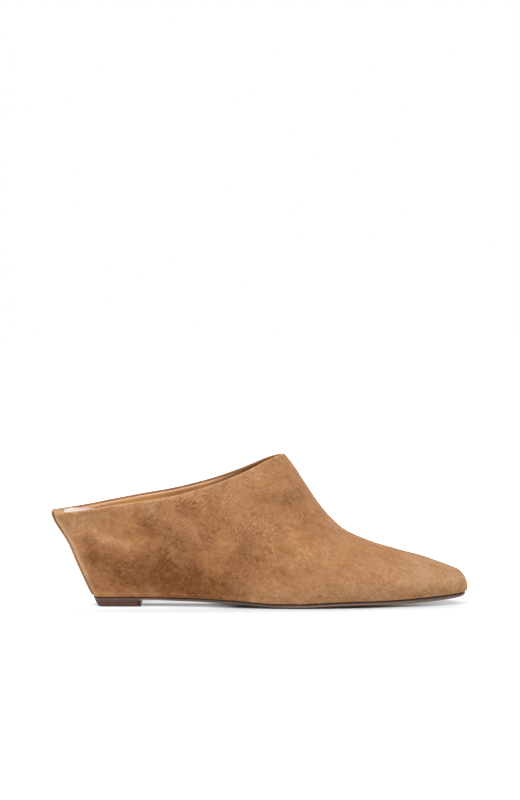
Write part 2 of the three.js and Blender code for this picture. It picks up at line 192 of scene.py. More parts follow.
floor_material, paint, shader = finish("floor_paint", {
    "Base Color": (0.83, 0.88, 0.92, 1), "Roughness": 0.9, "Emission Strength": 1.0})
place = paint.node("ShaderNodeTexCoord", output="Object")
along = paint.node("ShaderNodeSeparateXYZ", {}, {"Vector": place}, output="X")
across = paint.node("ShaderNodeSeparateXYZ", {}, {"Vector": place}, output="Y")
# Painted light and shade on the floor: its glow adds light in front of the shoe, under its arch and toe
# and behind it, tinted cool, and a painted contact shadow lowers it along the arch's near edge.
in_front = across.between(-0.076, -0.044, 0.10, 0.0)
painted_contact_shadow = across.between(-0.019, -0.011) * across.between(-0.010, -0.001, 0.16, 0.0)
painted_contact_shadow = painted_contact_shadow * along.between(-0.085, -0.070)
arch = across.between(-0.050, -0.026, 0.0, 0.32) + across.between(-0.006, 0.004, 0.0, 0.3) - painted_contact_shadow
arch = arch * along.between(-0.034, -0.014, 1.0, 0.0)
toe = across.between(-0.026, -0.010, 0.0, 0.34) * along.between(0.068, 0.112)
behind = across.between(0.022, 0.050, 0.0, 0.6)
painted_floor_light = (in_front + arch + toe + behind).blend((0, 0, 0, 1), (0.88, 1.0, 1.08, 1))
wear(paint, shader, Emission_Color=painted_floor_light)

floor_reach = 8.0
floor_mesh = bpy.data.meshes.new("floor")
floor_mesh.from_pydata(
    [(-floor_reach, -floor_reach, 0), (floor_reach, -floor_reach, 0),
     (floor_reach, floor_reach, 0), (-floor_reach, floor_reach, 0)],
    [], [(0, 1, 2, 3)])
floor = bpy.data.objects.new("floor", floor_mesh)
bpy.context.scene.collection.objects.link(floor)
floor_mesh.materials.append(floor_material)


# The last. The suede is pulled over one wooden form, and everything in the shoe takes its
# shape from it: its plan, its sections, its crown, the wedge's raked back and the footbed.
shoe_length = 0.266
ball_width = 0.085
sole_width = 0.079
peak_height = 0.0963
seat_height = 0.0591
heel_rake = 0.0295
rake_reach = 0.070
rake_ease = 1.5
heel_corner = 0.011
heel_squareness = 3.0
toe_corner = 0.008
toe_squareness = 3.0
nose_round = 0.007
nose_tuck = 0.0025
nose_squareness = 2.2
toe_tip_height = 0.0106
lift_height = 0.004
toe_spring = 0.0055
sole_thickness = 0.0028
skived_thickness = 0.0018
insole_thickness = 0.003
gap = 0.0003
seat_end = 0.22
ball_start = 0.62
flank_start = 0.62
inner_reach = 0.512

plan_columns = ("at", "upper_outer", "upper_inner", "sole_outer", "sole_inner")
plan_rows = [
    (0.000, 0.292, 0.280, 0.282, 0.275), (0.080, 0.318, 0.304, 0.289, 0.279),
    (0.160, 0.329, 0.311, 0.292, 0.280), (0.230, 0.333, 0.313, 0.298, 0.282),
    (0.300, 0.339, 0.316, 0.327, 0.287), (0.375, 0.364, 0.329, 0.369, 0.305),
    (0.432, 0.403, 0.356, 0.414, 0.332), (0.490, 0.448, 0.396, 0.459, 0.373),
    (0.545, 0.482, 0.439, 0.488, 0.421), (0.600, 0.499, 0.478, 0.500, 0.468),
    (0.648, 0.498, 0.501, 0.494, 0.496), (0.696, 0.482, 0.512, 0.475, 0.507),
    (0.745, 0.447, 0.501, 0.441, 0.498), (0.790, 0.400, 0.470, 0.395, 0.466),
    (0.840, 0.345, 0.416, 0.340, 0.410), (0.890, 0.288, 0.352, 0.281, 0.345),
    (0.940, 0.232, 0.290, 0.223, 0.279), (1.000, 0.168, 0.213, 0.157, 0.205),
]
section_columns = ("at", "widest", "roundness", "crown_lean")
section_rows = [
    (0.00, 0.43, 3.00, 0.00), (0.22, 0.42, 3.00, 0.00), (0.30, 0.39, 3.00, 0.01),
    (0.38, 0.32, 2.70, 0.02), (0.45, 0.24, 2.20, 0.03), (0.54, 0.15, 1.78, 0.04),
    (0.60, 0.14, 1.76, 0.05), (0.66, 0.18, 1.88, 0.06), (0.74, 0.23, 2.00, 0.06),
    (0.86, 0.28, 2.15, 0.05), (1.00, 0.34, 2.50, 0.02),
]
crown_columns = ("at", "height")
crown_rows = [
    (0.000, 1.050), (0.300, 1.150), (0.477, 1.100), (0.538, 1.040), (0.558, 0.996),
    (0.584, 0.907), (0.613, 0.785), (0.642, 0.665), (0.671, 0.570), (0.699, 0.500),
    (0.728, 0.455), (0.771, 0.407), (0.831, 0.357), (0.887, 0.317), (0.944, 0.264),
    (1.000, 0.202),
]
back_columns = ("at", "inset")
back_rows = [
    (0.000, 1.012), (0.100, 0.912), (0.236, 0.783), (0.455, 0.583), (0.673, 0.393),
    (0.838, 0.190), (0.947, 0.066), (1.000, 0.038), (1.100, 0.030),
]
underside_columns = ("at", "heel", "toe")
underside_rows = [
    (-0.02, 1.00, 0.000), (0.220, 1.00, 0.000), (0.308, 0.91, 0.000), (0.357, 0.82, 0.000),
    (0.406, 0.65, 0.000), (0.455, 0.42, 0.000), (0.504, 0.15, 0.000), (0.534, 0.00, 0.000),
    (0.602, 0.00, 0.000), (0.640, 0.00, 0.070), (0.677, 0.00, 0.150), (0.714, 0.00, 0.195),
    (0.790, 0.00, 0.225), (0.840, 0.00, 0.305), (0.887, 0.00, 0.436), (0.936, 0.00, 0.620),
    (1.000, 0.00, 1.040),
]
footbed_columns = ("at", "drop")
footbed_rows = [
    (-0.02, 1.000), (0.068, 1.000), (0.108, 0.984), (0.169, 0.932), (0.226, 0.840),
    (0.282, 0.716), (0.338, 0.566), (0.395, 0.412), (0.451, 0.266), (0.508, 0.150),
    (0.564, 0.068), (0.620, 0.020), (0.677, 0.000), (1.000, 0.000),
]


def smooth_line(rows, columns, name):
    """A column of a table as a smooth function of place that never overshoots a row."""
    table = np.array(rows)
    places, values = table[:, 0], table[:, columns.index(name)]
    spans = np.diff(places)
    rates = np.diff(values) / spans
    before, after = rates[:-1], rates[1:]
    turning = before * after <= 0
    inner = np.where(turning, 0, 2 * before * after / np.where(turning, 1, before + after))
    slopes = np.concatenate([rates[:1], inner, rates[-1:]])

    def height(at):
        at = np.clip(at, places[0], places[-1])
        row = np.clip(np.searchsorted(places, at, side="left") - 1, 0, len(spans) - 1)
        t = (at - places[row]) / spans[row]
        curve = values[row] * (1 + 2 * t) * (1 - t) ** 2 + values[row + 1] * (3 - 2 * t) * t ** 2
        bend = slopes[row] * t * (1 - t) ** 2 - slopes[row + 1] * t ** 2 * (1 - t)
        return curve + bend * spans[row]

    return height


def softened(line, reach=0.008):
    """The same line with its bends eased over a short stretch on either side."""
    weights = {-1.0: 1, -0.5: 2, 0.0: 2, 0.5: 2, 1.0: 1}
    return lambda at: sum(w * line(at + k * reach) for k, w in weights.items()) / 8


def plan(name):
    return softened(smooth_line(plan_rows, plan_columns, name))


upper_half = {-1: plan("upper_outer"), 1: plan("upper_inner")}
sole_half = {-1: plan("sole_outer"), 1: plan("sole_inner")}
widest_share = softened(smooth_line(section_rows, section_columns, "widest"))
roundness = softened(smooth_line(section_rows, section_columns, "roundness"))
crown_lean = softened(smooth_line(section_rows, section_columns, "crown_lean"))
crown_share = smooth_line(crown_rows, crown_columns, "height")
back_share = smooth_line(back_rows, back_columns, "inset")
heel_share = smooth_line(underside_rows, underside_columns, "heel")
spring_share = smooth_line(underside_rows, underside_columns, "toe")
drop_share = softened(smooth_line(footbed_rows, footbed_columns, "drop"))


def end_share(distance, reach, squareness):
    """Share of the full size at a distance from a rounded end."""
    left = np.clip(1 - distance / reach, 0, 1)
    return (1 - left ** squareness) ** (1 / squareness)


def smooth_step(value, low, high):
    """0 below low, 1 above high, and a soft rise between."""
    t = np.clip((value - low) / (high - low), 0, 1)
    return t * t * (3 - 2 * t)


def underside(x):
    """Height of the sole's underside: on the lift, up under the arch and up at the toe."""
    return lift_height * heel_share(x / shoe_length) + toe_spring * spring_share(x / shoe_length)


def sole_top(x):
    """Height of the sole's upper face: it is skived thin under the seat."""
    full = smooth_step(x / shoe_length, seat_end, ball_start)
    return underside(x) + skived_thickness + (sole_thickness - skived_thickness) * full


def footbed(x):
    """Height of the footbed, from the seat down the wedge to the forefoot."""
    forefoot = sole_top(x) + gap + insole_thickness
    return forefoot + (seat_height - forefoot) * drop_share(x / shoe_length)


def back_line(z):
    """How far the wedge's raked back lies in front of the seat's end at a height."""
    return heel_rake * back_share(z / seat_height)


def station_x(station, z):
    """Stations lean with the raked back near the heel and stand upright further on."""
    return station + back_line(z) * np.clip(1 - station / rake_reach, 0, 1) ** rake_ease


def last_point(station, away, sign):
    """Points on the last: away runs from 0 at the crown to 1 at the feather edge."""
    at = station / shoe_length
    to_toe = shoe_length - station
    ends = end_share(station, heel_corner, heel_squareness)
    ends = ends * end_share(to_toe, toe_corner, toe_squareness)
    widest = ball_width * upper_half[sign](at)
    feather = sole_width * sole_half[sign](at)
    crown = peak_height * crown_share(at)
    top = toe_tip_height + (crown - toe_tip_height) * end_share(to_toe, nose_round, nose_squareness)
    seat = sole_top(station) + gap
    bottom = toe_tip_height + (seat - toe_tip_height) * end_share(to_toe, nose_tuck, nose_squareness)
    level = bottom + (top - bottom) * widest_share(at)
    lean = ball_width * crown_lean(at)
    centre = ball_width * (upper_half[1](at) - upper_half[-1](at)) / 2
    angle = (1 - np.clip(away / flank_start, 0, 1)) * math.pi / 2
    power = 2 / roundness(at)
    arch_y = lean + (sign * widest - lean) * np.clip(np.cos(angle), 0, 1) ** power
    arch_z = level + (top - level) * np.sin(angle) ** power
    rise = np.clip((1 - away) / (1 - flank_start), 0, 1)
    flank_y = sign * (feather + (widest - feather) * (1 - (1 - rise) ** 2))
    flank_z = bottom + (level - bottom) * rise
    arch = away <= flank_start
    y = centre + (np.where(arch, arch_y, flank_y) - centre) * ends
    z = np.where(arch, arch_z, flank_z)
    return np.stack([station_x(station, z), y, z], axis=-1)


def unit(vectors):
    """The same directions, each with a length of one."""
    return vectors / np.maximum(np.linalg.norm(vectors, axis=-1, keepdims=True), 1e-12)


def last_normal(station, away, sign):
    """Outward directions of the last at those points."""
    step = 2e-5
    share = 2e-3
    place = np.clip(station, step, shoe_length - 2 * step)
    low = np.clip(away - share, 0, 1)
    high = np.clip(away + share, 0, 1)
    along = last_point(place + step, away, sign) - last_point(place - step / 2, away, sign)
    across = last_point(place, high, sign) - last_point(place, low, sign)
    normal = unit(np.cross(along, across) * sign)
    back = station < step
    flat = unit(normal * np.array([1, 0, 1]))
    normal = np.where(back[..., None], flat, normal)
    tip = station > shoe_length - step
    return np.where(tip[..., None], np.array([1.0, 0.0, 0.0]), normal)


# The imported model's box gives the place of these sizes in the frame.
to_frame = np.array([cad_high.x - shoe_length, cad_high.y - ball_width * inner_reach, 0.0])


def mesh_piece(name, points, faces, material, attributes):
    """A smooth piece of the shoe on the root body, with its doubles merged."""
    mesh = bpy.data.meshes.new(name)
    mesh.from_pydata((np.asarray(points) + to_frame).tolist(), [], faces)
    for label, values in attributes.items():
        layer = mesh.attributes.new(label, "FLOAT", "POINT")
        layer.data.foreach_set("value", np.asarray(values, dtype=np.float32).ravel())
    shape = bmesh.new()
    shape.from_mesh(mesh)
    bmesh.ops.remove_doubles(shape, verts=shape.verts, dist=2e-6)
    bmesh.ops.dissolve_degenerate(shape, edges=shape.edges, dist=1e-7)
    bmesh.ops.recalc_face_normals(shape, faces=shape.faces)
    shape.to_mesh(mesh)
    shape.free()
    mesh.polygons.foreach_set("use_smooth", [True] * len(mesh.polygons))
    mesh.materials.append(material)
    piece = bpy.data.objects.new(name, mesh)
    bpy.context.scene.collection.objects.link(piece)
    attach(piece, "root")
    return piece


# Suede of the upper: tan calf suede whose nap lies in cloudy strokes, darker where it is
# brushed away from the light, with short fibres and a fine grain; painted highlights and painted
# shadows come in through the nap attribute, and painted sheen through the grey attribute.
tan = linear(166, 118, 80)
light_nap = linear(196, 156, 120)
dark_nap = linear(112, 66, 36)
crushed_nap = linear(84, 46, 22)


def suede(name, lightness=0.0):
    """Suede with its brushed strokes, painted light and painted shade from the mesh's nap attribute,
    painted sheen from its grey attribute, and its fibres from noise.
    """
    material, paint, shader = finish(name, {
        "Roughness": 0.95, "Sheen Weight": 0.25, "Sheen Roughness": 0.45,
        "Sheen Tint": linear(236, 196, 156), "Specular IOR Level": 0.12})
    nap = paint.attribute("nap")
    clouds = paint.noise(62, 5.0, 0.62, distortion=0.8)
    strokes = paint.noise(1.0, 4.0, 0.6, paint.stretched((0.012, 0.008, 0.0035), 0.35), 0.6)
    mottles = paint.noise(330, 3.0, 0.65, distortion=0.6)
    combed = paint.noise(1.0, 2.0, 0.6, paint.stretched((0.0048, 0.0025, 0.0009), 0.8), 0.5)
    rubbed = paint.noise(1.0, 2.0, 0.6, paint.stretched((0.0044, 0.0025, 0.0009), -0.7), 0.5)
    grain = paint.noise(1250, 3.0, 0.75)
    hatch = paint.noise(48).between(0.44, 0.56) * (combed - rubbed) + rubbed
    ruffled = paint.noise(75, 2.0, 0.5).between(0.35, 0.65, 0.45, 1.45) * paint.attribute("ruffled")
    tone = nap + (clouds - 0.5) * 0.58 + (strokes - 0.5) * 0.34 + (mottles - 0.5) * 0.42
    tone = tone + ((hatch - 0.5) * 0.52 + (grain - 0.5) * 0.94) * ruffled + (0.415 + lightness)
    whole = tone.between(-0.4, 0.0).blend(crushed_nap, dark_nap)
    whole = tone.between(0.0, 0.5).blend(whole, tan)
    whole = tone.between(0.5, 1.0).blend(whole, light_nap)
    warmth = paint.noise(55, 3.0, 0.6, distortion=0.5).between(0.38, 0.66)
    whole = warmth.blend(whole, (1.03, 0.99, 0.87, 1.0), "MULTIPLY")
    whole = paint.attribute("grey").blend(whole, (0.86, 1.00, 1.16, 1.0), "MULTIPLY")
    fibres = paint.noise(3200, 2.0, 0.6)
    pile = mottles * 0.5 + grain * 0.6 + hatch * 0.6 + fibres * 0.3
    gloss = tone.between(0.0, 1.0, 0.98, 0.86)
    wear(paint, shader, Base_Color=whole, Normal=pile.bump(0.45, 0.0006), Roughness=gloss)
    return material


# The upper. One panel of suede is pulled from the collar over the wedge to the sole, and its
# edge is folded over at the collar and turned in. The shell is closed and has its own
# thickness. It meets the sole in a tucked feather edge.
suede_thickness = 0.0009
fold_radius = 0.00075
turned_band = 0.0008
wall = 0.002
medial_rise = 0.0015
collar_width = 0.054
strip_width = 0.029
row_crowding = 0.10
peak_run = 0.030
halvings = 42
band_thickness = 0.0004
collar_columns = ("at", "rise", "extra")
collar_rows = [
    (-0.05, 0.012, 0.00), (0.015, 0.014, 0.10), (0.038, 0.026, 0.20), (0.079, 0.060, 0.50),
    (0.141, 0.140, 0.70), (0.237, 0.240, 1.42), (0.286, 0.298, 1.50), (0.334, 0.386, 1.30),
    (0.382, 0.490, 1.05), (0.430, 0.620, 0.72), (0.477, 0.765, 0.50), (0.514, 0.893, 0.30),
    (0.538, 0.965, 0.10), (0.558, 1.000, 0.00), (0.620, 1.500, 0.00),
]
collar_rise = softened(smooth_line(collar_rows, collar_columns, "rise"), 0.006)
collar_extra = smooth_line(collar_rows, collar_columns, "extra")

# A fixed seed, because Blender otherwise takes one from the clock at each start.
stroke_seed = 1796061161
noise.seed_set(stroke_seed)


def collar_height(points):
    """Height of the collar's edge over each point: it dips under the strip at the back."""
    x, y = points[..., 0], points[..., 1]
    at = x / shoe_length
    outer = seat_height + (peak_height - seat_height) * collar_rise(at)
    extra = medial_rise * collar_extra(at) * (0.5 + y / collar_width)
    near_back = smooth_step(0.008 - x, 0, 0.001)
    under_strip = near_back * smooth_step(strip_width / 2 + 0.0006 - abs(y), 0, 0.001)
    return outer + extra - under_strip * (outer - seat_height + 0.0001)


def crossing(station, sign, level, lowest=1.0):
    """Share from crown to feather at which the last comes down to a level."""
    low = np.zeros_like(station)
    high = np.full_like(station, lowest)
    for _ in range(halvings):
        middle = (low + high) / 2
        point = last_point(station, middle, sign)
        above = point[..., 2] > level(point)
        low = np.where(above, middle, low)
        high = np.where(above, high, middle)
    return low


def peak_station(drop):
    """Station at which the lowered collar reaches the crown."""
    low, high = 0.12, 0.16
    for _ in range(halvings):
        middle = (low + high) / 2
        point = last_point(np.array(middle), np.array(0.0), 1)
        if point[2] > collar_height(point) - drop:
            low = middle
        else:
            high = middle
    return high


def station_list(peak):
    """Stations from heel to toe, close together at both ends and behind the peak."""
    ease = 1 - np.cos(np.linspace(0, math.pi / 2, 15))[:-1]
    heel = heel_corner * ease
    along = np.linspace(heel_corner, peak - peak_run, 86)[:-1]
    to_peak = peak - peak_run * (1 - np.linspace(0, 1, 44)) ** 2
    front = np.linspace(peak, shoe_length - toe_corner, 92)[1:]
    nose = shoe_length - toe_corner * (1 - np.sin(np.linspace(0, math.pi / 2, 23)))[1:]
    return np.concatenate([heel, along, to_peak, front, nose])


def half_sheet(sign, drop, rows):
    """Stations and shares of a grid from the feather edge up to the collar or the crown, with
    its rows a little closer together at both edges."""
    peak = peak_station(drop)
    stations = station_list(peak)
    collar = crossing(stations, sign, lambda point: collar_height(point) - drop, 0.98)
    top = np.where(stations < peak - 1e-9, collar, 0.0)
    climb = np.linspace(0, 1, rows)
    climb = climb - row_crowding * np.sin(2 * math.pi * climb) / (2 * math.pi)
    away = 1 - climb[None, :] * (1 - top[:, None])
    place = np.repeat(stations[:, None], rows, axis=1)
    return place, away, int(np.argmin(abs(stations - peak)))


def touched(points, marks):
    """Sum of soft oval marks in side view: place, length, height, turn and strength of each."""
    x, z = points[..., 0], points[..., 2]
    total = np.zeros_like(x)
    for centre_x, centre_z, length, height, turn, strength in marks:
        along = (x - centre_x) * math.cos(turn) + (z - centre_z) * math.sin(turn)
        over = (z - centre_z) * math.cos(turn) - (x - centre_x) * math.sin(turn)
        total = total + strength * np.exp(-(along / length) ** 2 - (over / height) ** 2)
    return total


def pulls(points, normals):
    """The suede stands off the last in soft troughs and ridges, listed one by one."""
    x, y, z = points[..., 0], points[..., 1], points[..., 2]
    troughs = [
        # x, z, length, height, turn and depth of each, in metres and radians
        (0.070, 0.030, 0.040, 0.012, 0.10, -0.00045),
        (0.105, 0.022, 0.030, 0.010, 0.35, -0.00035),
        (0.035, 0.046, 0.030, 0.009, -0.10, 0.00030),
        (0.060, 0.043, 0.030, 0.007, 0.20, 0.00025),
        (0.130, 0.030, 0.030, 0.012, 0.55, 0.00030),
        (0.150, 0.060, 0.014, 0.020, 0.30, -0.00030),
        (0.176, 0.030, 0.016, 0.012, 0.60, -0.00030),
        (0.200, 0.022, 0.024, 0.008, 0.25, 0.00020),
        (0.225, 0.020, 0.018, 0.006, 0.20, -0.00015),
    ]
    ripple = np.sin(x * 190 + z * 120 + 3 * y / ball_width) * np.sin(x * 70 - z * 260 + 1.3)
    total = touched(points, troughs) + 0.00007 * ripple
    steady = smooth_step(x, 0.012, 0.03) * smooth_step(shoe_length - x, 0.004, 0.02)
    return points + normals * (total * steady)[..., None]


def stray(points, reach, scale):
    """The points, each led astray by smooth noise, so that painted shapes get ragged edges."""
    flat = points.reshape(-1, 3)
    moves = [noise.noise_vector(Vector(point) * scale) for point in flat.tolist()]
    return points + reach * np.array(moves).reshape(points.shape)


def brushed_and_shaded(points):
    """Lightness of the nap, from listed strokes in the shoe's own side view; the dark strokes low on the
    waist also paint the shade where the wall turns down.
    """
    outer = smooth_step(-points[..., 1], -0.004, 0.010)
    strokes = [
        # x, z, length, height, turn and lightness of each, in metres and radians
        (0.029, 0.034, 0.011, 0.008, -0.70, -0.34),
        (0.046, 0.022, 0.017, 0.008, -0.45, -0.34),
        (0.068, 0.027, 0.014, 0.008, -0.30, -0.36),
        (0.084, 0.014, 0.024, 0.009, -0.10, -0.46),
        (0.107, 0.018, 0.014, 0.008, 0.10, -0.33),
        (0.080, 0.004, 0.044, 0.006, 0.00, -0.46),
        (0.054, 0.015, 0.012, 0.005, 0.00, -0.20),
        (0.028, 0.012, 0.011, 0.006, 0.10, -0.25),
        (0.113, 0.007, 0.007, 0.005, -0.50, -0.20),
        (0.120, 0.032, 0.009, 0.007, 0.30, -0.14),
        (0.078, 0.041, 0.022, 0.010, -0.10, -0.17),
        (0.061, 0.052, 0.010, 0.006, -1.05, -0.31),
        (0.090, 0.063, 0.009, 0.005, 0.20, -0.26),
        (0.105, 0.056, 0.012, 0.009, 0.20, -0.14),
        (0.137, 0.068, 0.012, 0.006, 0.10, -0.18),
        (0.155, 0.070, 0.008, 0.005, 0.30, -0.18),
        (0.150, 0.090, 0.006, 0.006, 0.30, -0.12),
        (0.140, 0.025, 0.010, 0.009, 0.40, -0.14),
        (0.057, 0.058, 0.007, 0.004, 0.10, -0.12),
        (0.081, 0.075, 0.009, 0.005, -0.40, 0.26),
        (0.106, 0.084, 0.009, 0.004, 0.30, -0.10),
        (0.128, 0.065, 0.006, 0.005, 0.20, 0.16),
        (0.082, 0.057, 0.008, 0.005, 0.00, 0.04),
        (0.067, 0.013, 0.006, 0.005, 0.30, 0.11),
        (0.098, 0.022, 0.008, 0.007, 0.00, -0.10),
        (0.128, 0.038, 0.008, 0.008, 0.00, -0.07),
        (0.077, 0.070, 0.007, 0.006, 0.00, 0.05),
        (0.134, 0.045, 0.012, 0.006, 0.00, 0.06),
        (0.098, 0.071, 0.006, 0.005, 0.00, 0.06),
        (0.052, 0.064, 0.010, 0.004, 0.10, 0.15),
        (0.014, 0.057, 0.006, 0.003, 0.00, 0.09),
        (0.129, 0.089, 0.008, 0.005, 0.40, 0.14),
        (0.057, 0.026, 0.006, 0.006, 0.00, -0.12),
        (0.036, 0.038, 0.006, 0.004, 0.00, -0.05),
        (0.210, 0.040, 0.012, 0.005, -0.30, 0.12),
        (0.257, 0.018, 0.010, 0.005, -0.30, 0.13),
        (0.210, 0.006, 0.012, 0.004, 0.10, 0.13),
        (0.100, 0.005, 0.010, 0.005, 0.00, -0.16),
        (0.098, 0.013, 0.006, 0.005, -0.30, 0.11),
        (0.036, 0.024, 0.006, 0.006, 0.00, 0.10),
        (0.170, 0.007, 0.040, 0.005, 0.05, 0.10),
        (0.190, 0.034, 0.010, 0.005, -0.40, -0.10),
        (0.162, 0.032, 0.013, 0.005, 0.00, 0.14),
        (0.224, 0.019, 0.009, 0.005, 0.00, 0.15),
        (0.022, 0.049, 0.012, 0.004, -0.35, 0.14),
        (0.044, 0.042, 0.016, 0.004, -0.15, 0.29),
        (0.016, 0.036, 0.004, 0.010, 0.40, 0.16),
        (0.128, 0.007, 0.005, 0.008, -0.30, 0.16),
        (0.120, 0.076, 0.016, 0.008, 0.45, 0.12),
        (0.086, 0.075, 0.016, 0.005, 0.25, 0.36),
        (0.168, 0.050, 0.012, 0.007, -0.90, -0.16),
        (0.152, 0.052, 0.010, 0.008, -0.60, 0.10),
        (0.092, 0.023, 0.014, 0.006, -0.30, -0.16),
        (0.238, 0.032, 0.012, 0.005, -0.35, 0.21),
        (0.229, 0.033, 0.006, 0.004, -0.50, 0.12),
        (0.175, 0.040, 0.020, 0.010, -0.40, 0.14),
        (0.160, 0.014, 0.028, 0.010, 0.05, 0.10),
        (0.205, 0.022, 0.030, 0.010, -0.20, 0.14),
        (0.240, 0.022, 0.020, 0.009, -0.30, 0.28),
    ]
    lightness = touched(stray(stray(points, 0.0045, 70), 0.0018, 260), strokes)
    lightness = lightness / (1 + 0.8 * abs(lightness))
    return lightness * (0.35 + 0.65 * outer)


def smudge_and_sheen(points):
    """Where the nap looks greyer: a smudge on the instep, and painted sheen on the rims and the toe."""
    marks = [
        (0.151, 0.069, 0.006, 0.0035, 0.0, 0.80),
        (0.258, 0.022, 0.045, 0.030, -0.3, 0.45),
        (0.004, 0.052, 0.020, 0.016, 0.0, 0.50),
        (0.050, 0.062, 0.035, 0.008, 0.1, 0.35),
        (0.140, 0.090, 0.014, 0.012, 0.4, 0.35),
        (0.185, 0.008, 0.060, 0.010, 0.0, 0.35),
    ]
    return touched(points, marks)


def ruffle(points):
    """How crisp the crossed brush marks look there, against 1 for the rest."""
    marks = [
        (0.090, 0.063, 0.018, 0.014, 0.2, 0.85),
        (0.125, 0.040, 0.014, 0.022, 0.0, 0.35),
        (0.060, 0.014, 0.050, 0.012, 0.0, -0.35),
    ]
    return 1.0 + touched(points, marks)


class Sheets:
    """Grids of points that share edges, gathered into one mesh with their values."""

    def __init__(self):
        self.points = []
        self.values = {}
        self.faces = []
        self.count = 0

    def add(self, grid, turned=False, closed=False, **values):
        rows, columns = grid.shape[:2]
        index = np.arange(rows * columns).reshape(rows, columns) + self.count
        if closed:
            index = np.concatenate([index, index[:1]])
        corners = np.stack([index[:-1, :-1], index[1:, :-1], index[1:, 1:], index[:-1, 1:]], axis=-1)
        corners = corners.reshape(-1, 4)
        self.faces += (corners[:, ::-1] if turned else corners).tolist()
        self.points.append(grid.reshape(-1, 3))
        for name, value in values.items():
            self.values.setdefault(name, []).append(np.broadcast_to(value, grid.shape[:2]).ravel())
        self.count += rows * columns

    def piece(self, name, material):
        values = {label: np.concatenate(parts) for label, parts in self.values.items()}
        return mesh_piece(name, np.concatenate(self.points), self.faces, material, values)


def collar_loop(outer, inner, peak):
    """The collar's edge as one loop: forward on the outer side and back on the inner side."""
    return np.concatenate([outer[:peak + 1, -1], inner[1:peak, -1][::-1]])


def loop_up(loop, normals):
    """Directions in the surface, square to the loop, that point up out of the shoe."""
    ahead = np.roll(loop, -1, axis=0) - np.roll(loop, 1, axis=0)
    up = unit(np.cross(ahead, normals))
    return up * np.where(up[:, 2:3] < 0, -1, 1)


sheet_rows = 64
upper = Sheets()
top_rows = {}
for sign in (-1, 1):
    place, away, peak = half_sheet(sign, fold_radius, sheet_rows)
    surface = last_point(place, away, sign)
    normal = last_normal(place, away, sign)
    outside = pulls(surface, normal)
    under = outside - normal * suede_thickness
    x, y, z = surface[..., 0], surface[..., 1], surface[..., 2]
    # Painted light and shade in the nap: a painted highlight along the feather edge (rim), a painted
    # highlight on the crease just above the sole, a painted highlight on the heel's rounded corner, and
    # a painted shadow along the back strip's seam.
    rim = 0.10 * np.exp(-((1 - away) / 0.05) ** 2)
    back = smooth_step(back_line(z) - x, -0.004, 0.001)
    seam_shadow = np.exp(-((abs(y) - strip_width / 2 - 0.0005) / 0.0011) ** 2) * back
    crease_highlight = 0.14 * np.exp(-((z - sole_top(x) - 0.0026) / 0.0005) ** 2)
    crease_highlight = crease_highlight * smooth_step(-x, -0.125, -0.105)
    corner_highlight = np.exp(-((x - back_line(z) - 0.0027) / 0.0012) ** 2)
    corner_highlight = corner_highlight * (1 - 0.8 * smooth_step(z, 0.048, 0.057))
    nap = brushed_and_shaded(surface) + rim + crease_highlight + 0.28 * corner_highlight * (1 - back) - 1.3 * seam_shadow
    looks = {"nap": nap, "grey": smudge_and_sheen(surface), "ruffled": ruffle(surface)}
    upper.add(outside, sign > 0, **looks)
    upper.add(under, sign < 0, **looks)
    feather = np.stack([outside[:, 0], under[:, 0]], axis=1)
    upper.add(feather, sign < 0, nap=-0.1, grey=0.0, ruffled=1.0)
    top_rows[sign] = (outside, normal)
edge = collar_loop(top_rows[-1][0], top_rows[1][0], peak)
edge_normal = collar_loop(top_rows[-1][1], top_rows[1][1], peak)
edge_up = loop_up(edge, edge_normal)
roll = []
for turn in np.linspace(0, math.pi, 9):
    rise = edge_up * (fold_radius * math.sin(turn))
    roll.append(edge + rise - edge_normal * (fold_radius * (1 - math.cos(turn))))
inside_face = edge - edge_normal * 2 * fold_radius
for share in (0.35, 0.7, 0.95, 1.0):
    roll.append(inside_face - edge_up * (turned_band * share))
roll.append(roll[-1] + edge_normal * band_thickness)
roll.append(edge - edge_normal * suede_thickness)

# The fold gets a painted highlight on its outer turn and painted shade on the band turned inside.
band_nap = np.array([0.40] * 4 + [0.14] * 3 + [0.10] * (len(roll) - 7))
upper.add(np.stack(roll, axis=1), closed=True, nap=band_nap[None, :], grey=0.0, ruffled=1.0)
upper_piece = upper.piece("suede_upper", suede("tan_suede"))
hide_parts("upper")


# The lining. Tan leather is stuck inside the suede and stops just below the turned-in edge,
# where its raw edge shows as a pale line that fades in the dark of the throat.
lining_thickness = 0.0005
lining_drop = fold_radius + turned_band - 0.0001
lining_rows = 44
raw_width = 0.0006

lining_material, paint, shader = finish("lining_leather", {
    "Roughness": 0.7, "Specular IOR Level": 0.1, "Coat Weight": 0.0})
raw = paint.attribute("raw")
cloud = paint.noise(60, 3.0, 0.6)
pores = paint.noise(2200, 2.0, 0.5)
shade = paint.attribute("shade")
leather = cloud.between(0.3, 0.7) * 0.6 + pores * 0.3
leather = leather.blend(linear(170, 115, 66), linear(202, 147, 94))
leather = raw.blend(leather, linear(230, 190, 158))
leather = shade.blend(leather, linear(98, 52, 24))
creased = pores * 0.5 + cloud * 0.5
wear(paint, shader, Base_Color=leather, Normal=creased.bump(0.2, 0.0002))


def throat(points):
    """How far the lining lies in the dark of the throat."""
    return smooth_step(points[..., 0], 0.096, 0.132)


